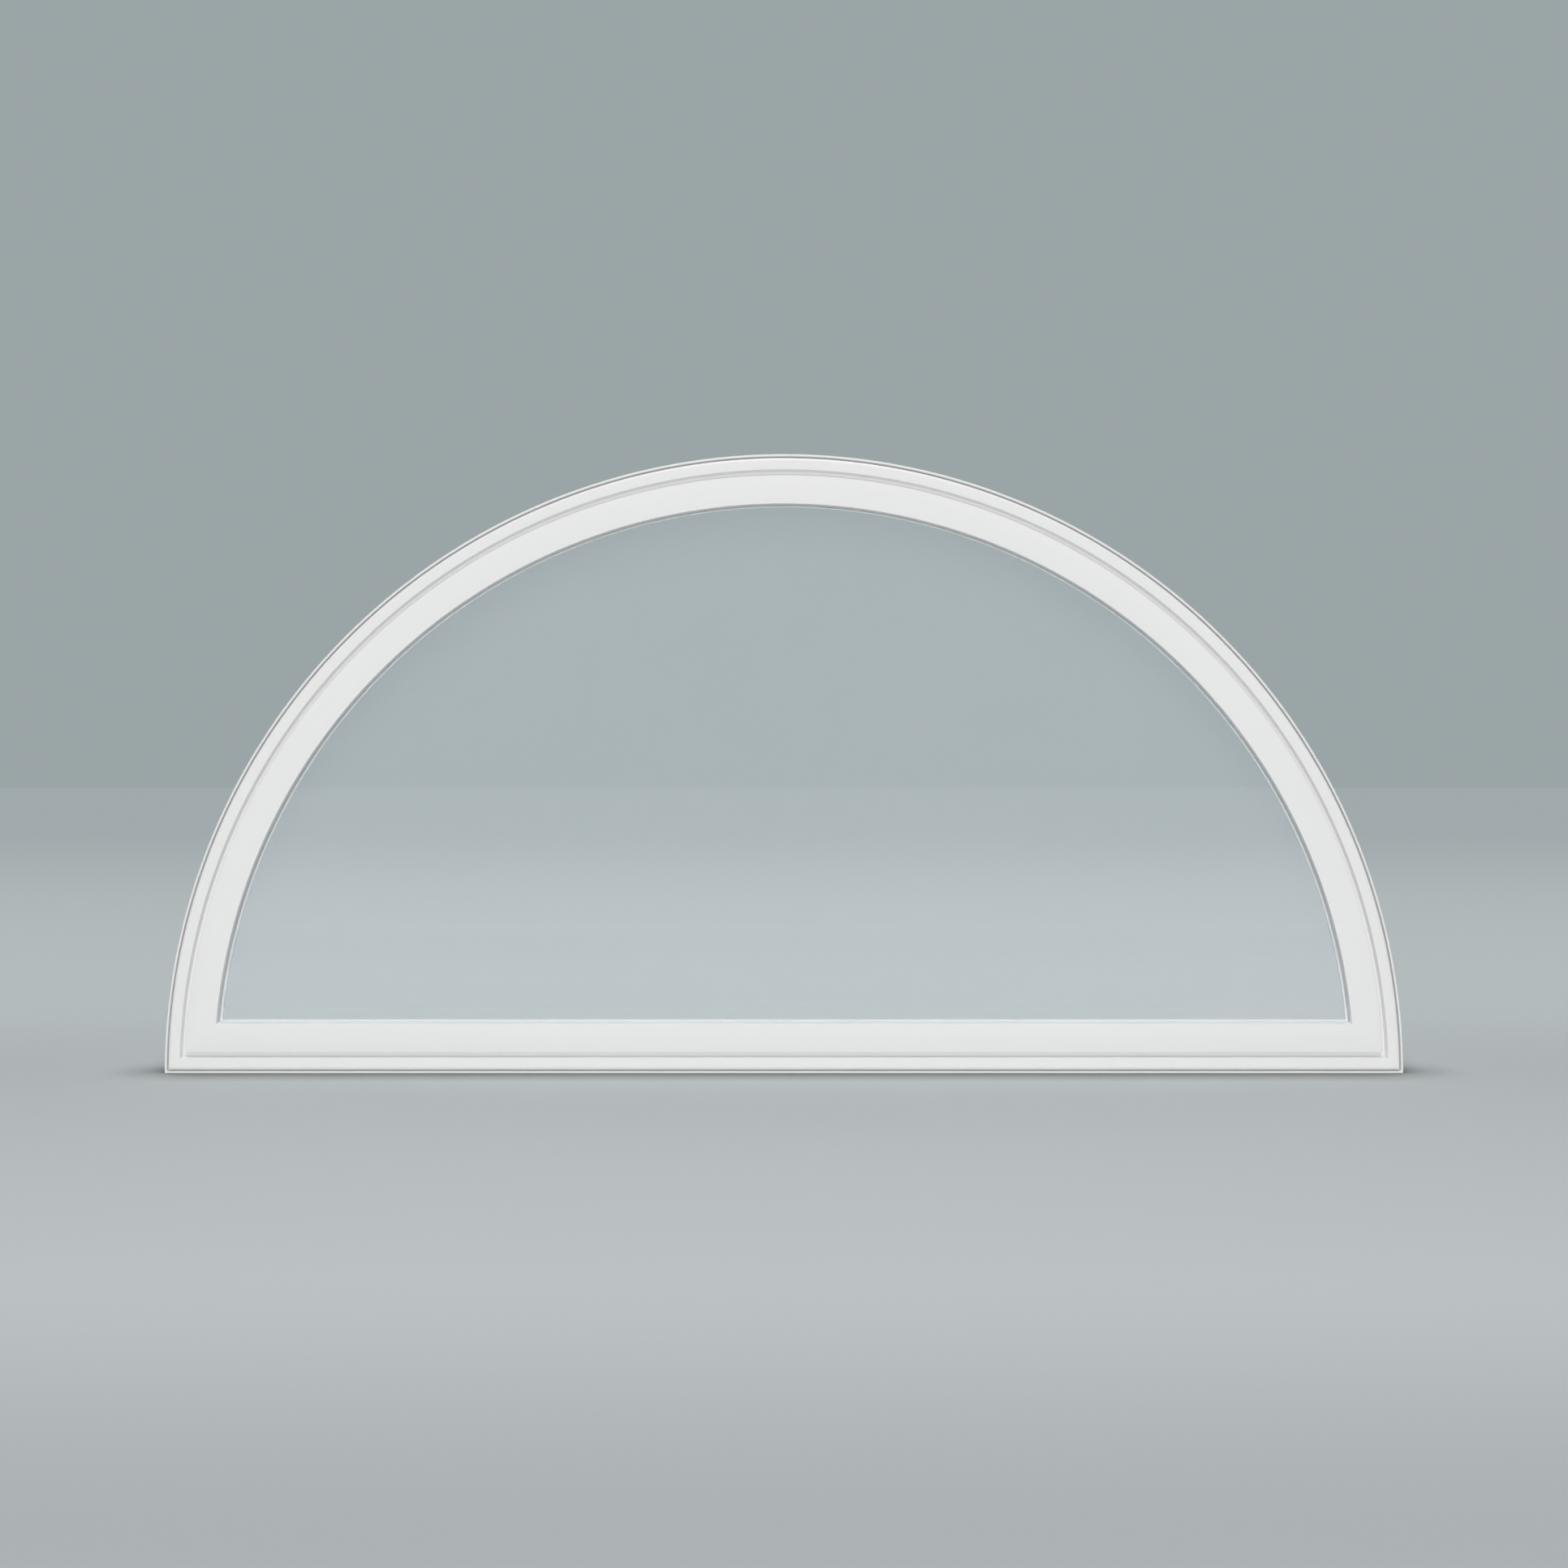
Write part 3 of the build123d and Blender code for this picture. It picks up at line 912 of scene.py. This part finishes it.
def wall_material():
    """Wall that shows one calm colour."""
    material, tree, shader = new_material("stage_wall")
    shader.inputs["Base Color"].default_value = (*WALL_COLOUR, 1)
    glow = add_node(tree, "ShaderNodeEmission")
    glow.inputs["Color"].default_value = (*WALL_COLOUR, 1)
    choice = add_node(tree, "ShaderNodeMixShader")
    feed(tree, choice.inputs[0], seen_directly(tree))
    feed(tree, choice.inputs[1], shader.outputs[0])
    feed(tree, choice.inputs[2], glow.outputs[0])
    feed(tree, tree.nodes["Material Output"].inputs["Surface"], choice.outputs[0])
    return material


def stage_sheet(name, corners, material):
    """Flat stage sheet through four corners."""
    mesh = bpy.data.meshes.new(name)
    mesh.from_pydata(corners, [], [(0, 1, 2, 3)])
    mesh.materials.append(material)
    sheet = bpy.data.objects.new(name, mesh)
    bpy.context.scene.collection.objects.link(sheet)
    return sheet


stage_sheet(
    "stage_floor",
    [
        (-FLOOR_HALF_WIDTH, FLOOR_FRONT, 0.0),
        (FLOOR_HALF_WIDTH, FLOOR_FRONT, 0.0),
        (FLOOR_HALF_WIDTH, WALL_DISTANCE, 0.0),
        (-FLOOR_HALF_WIDTH, WALL_DISTANCE, 0.0),
    ],
    floor_material(),
)
stage_sheet(
    "stage_wall",
    [
        (-FLOOR_HALF_WIDTH, WALL_DISTANCE, 0.0),
        (FLOOR_HALF_WIDTH, WALL_DISTANCE, 0.0),
        (FLOOR_HALF_WIDTH, WALL_DISTANCE, WALL_HEIGHT),
        (-FLOOR_HALF_WIDTH, WALL_DISTANCE, WALL_HEIGHT),
    ],
    wall_material(),
)
print("stage: floor to a wall", WALL_DISTANCE, "m behind the window")

# %% [markdown]
# ## Light
#
# Two soft panels light the window. The front one hangs low, nearly level with the window, and gives
# the white faces their tone. The key hangs high in front, so that ledges that look up are the
# brightest lines. A narrow strip near the floor fills what looks down. The front panel and the
# strips are hidden from mirrors and glass, or the panes would show them.
# The spacer bar lies deep between the panes, where little of this light arrives, yet on a real
# window it is a bright line that daylight reaches from behind. One strip behind the window does
# that. It is linked to the spacer alone, so that it doesn't burn out the room side of the frame.
# A sky fills the rest. It is dark to both sides, as if black flags stood there, because that draws
# the steep walls of the jambs, and it is brighter behind the window, where no panel stands.

# %% Lamps and sky
LAMP_TARGET = (0.0, 0.0, 0.45)
FRONT_PANEL = {"place": (0.0, -12.0, 1.5), "size": (5.0, 2.0), "watts": 600.0, "mirrored": False}
KEY_PANEL = {"place": (0.0, -5.8, 10.9), "size": (6.0, 4.0), "watts": 680.0, "mirrored": True}
FILL_STRIP = {"place": (0.0, -3.1, 0.08), "size": (4.0, 0.5), "watts": 22.0, "mirrored": False}
SPACER_STRIP = {"place": (0.0, 3.1, 0.08), "size": (4.0, 0.5), "watts": 430.0, "mirrored": False}
FRONT_SKY = 0.13
SIDE_SKY = 0.02
BACK_SKY = 1.1
BACK_SKY_FROM = (0.0, 0.6)
FLAGS_FROM = (0.4, 0.9)


def soft_panel(name, place, size, watts, mirrored):
    """Rectangular area lamp aimed at the middle of the window."""
    lamp = bpy.data.lights.new(name, "AREA")
    lamp.shape = "RECTANGLE"
    lamp.size, lamp.size_y = size
    lamp.energy = watts
    panel = bpy.data.objects.new(name, lamp)
    panel.location = place
    towards = Vector(LAMP_TARGET) - Vector(place)
    panel.rotation_euler = towards.to_track_quat("-Z", "Y").to_euler()
    panel.visible_camera = False
    panel.visible_glossy = mirrored
    panel.visible_transmission = mirrored
    bpy.context.scene.collection.objects.link(panel)
    return panel


def studio_sky(seen_colour):
    """World that lights with white, dim at the sides, and shows another colour past the stage."""
    world = bpy.data.worlds.new("studio_sky")
    world.use_nodes = True
    bpy.context.scene.world = world
    tree = world.node_tree
    direction = add_node(tree, "ShaderNodeSeparateXYZ")
    feed(tree, direction.inputs[0], add_node(tree, "ShaderNodeTexCoord").outputs["Generated"])
    sideways = calc(tree, "ABSOLUTE", direction.outputs[0])
    open_sky = smooth_range(tree, direction.outputs[1], *BACK_SKY_FROM, FRONT_SKY, BACK_SKY)
    flags = smooth_range(tree, sideways, *FLAGS_FROM, 1.0, SIDE_SKY / FRONT_SKY)
    lighting = tree.nodes["Background"]
    lighting.inputs["Color"].default_value = (1, 1, 1, 1)
    feed(tree, lighting.inputs["Strength"], calc(tree, "MULTIPLY", open_sky, flags))
    shown = add_node(tree, "ShaderNodeBackground")
    shown.inputs["Color"].default_value = (*seen_colour, 1)
    choice = add_node(tree, "ShaderNodeMixShader")
    feed(tree, choice.inputs[0], seen_directly(tree))
    feed(tree, choice.inputs[1], lighting.outputs[0])
    feed(tree, choice.inputs[2], shown.outputs[0])
    feed(tree, tree.nodes["World Output"].inputs["Surface"], choice.outputs[0])


soft_panel("front_panel", **FRONT_PANEL)
soft_panel("key_panel", **KEY_PANEL)
soft_panel("fill_strip", **FILL_STRIP)
lit_by_strip = bpy.data.collections.new("lit_by_spacer_strip")
for bar_name in ("spacer_arch_member", "spacer_sill_member"):
    lit_by_strip.objects.link(bpy.data.objects[bar_name])
spacer_strip = soft_panel("spacer_strip", **SPACER_STRIP)
spacer_strip.light_linking.receiver_collection = lit_by_strip
studio_sky(WALL_COLOUR)
bpy.context.scene.view_settings.view_transform = "Standard"
print("lamps:", [light.name for light in bpy.data.lights])

# %% [markdown]
# ## Camera
#
# The view is square on, level, and a little above the middle of the window. The picture is square,
# and the window's full width is known on it, so the lens follows from the chosen distance. The eye
# level lies above the picture's middle, which a small lens shift gives without tilting the camera.

# %% Camera
PICTURE_SIDE = 1932.0
PICTURE_MIDDLE = PICTURE_SIDE / 2
SENSOR_MM = 36.0
VIEW_END = 200.0
window_px = 1527.2
sill_line_px = 1323.0
middle_line_px = 965.9
eye_level_px = 870.0
camera_distance = 4.3

metres_per_px = (high.x - low.x) / window_px
lens_px = camera_distance / metres_per_px
camera_data = bpy.data.cameras.new("front_camera")
camera_data.sensor_width = SENSOR_MM
camera_data.lens = SENSOR_MM * lens_px / PICTURE_SIDE
camera_data.shift_y = (eye_level_px - PICTURE_MIDDLE) / PICTURE_SIDE
camera_data.clip_end = VIEW_END
camera = bpy.data.objects.new("front_camera", camera_data)
camera.location = (
    (PICTURE_MIDDLE - middle_line_px) * metres_per_px,
    front_y - camera_distance,
    (sill_line_px - eye_level_px) * metres_per_px,
)
camera.rotation_euler = (math.pi / 2, 0.0, 0.0)
bpy.context.scene.collection.objects.link(camera)
bpy.context.scene.camera = camera
print(f"lens {camera_data.lens:.1f} mm at {camera_distance} m, eye {camera.location.z:.3f} m up")
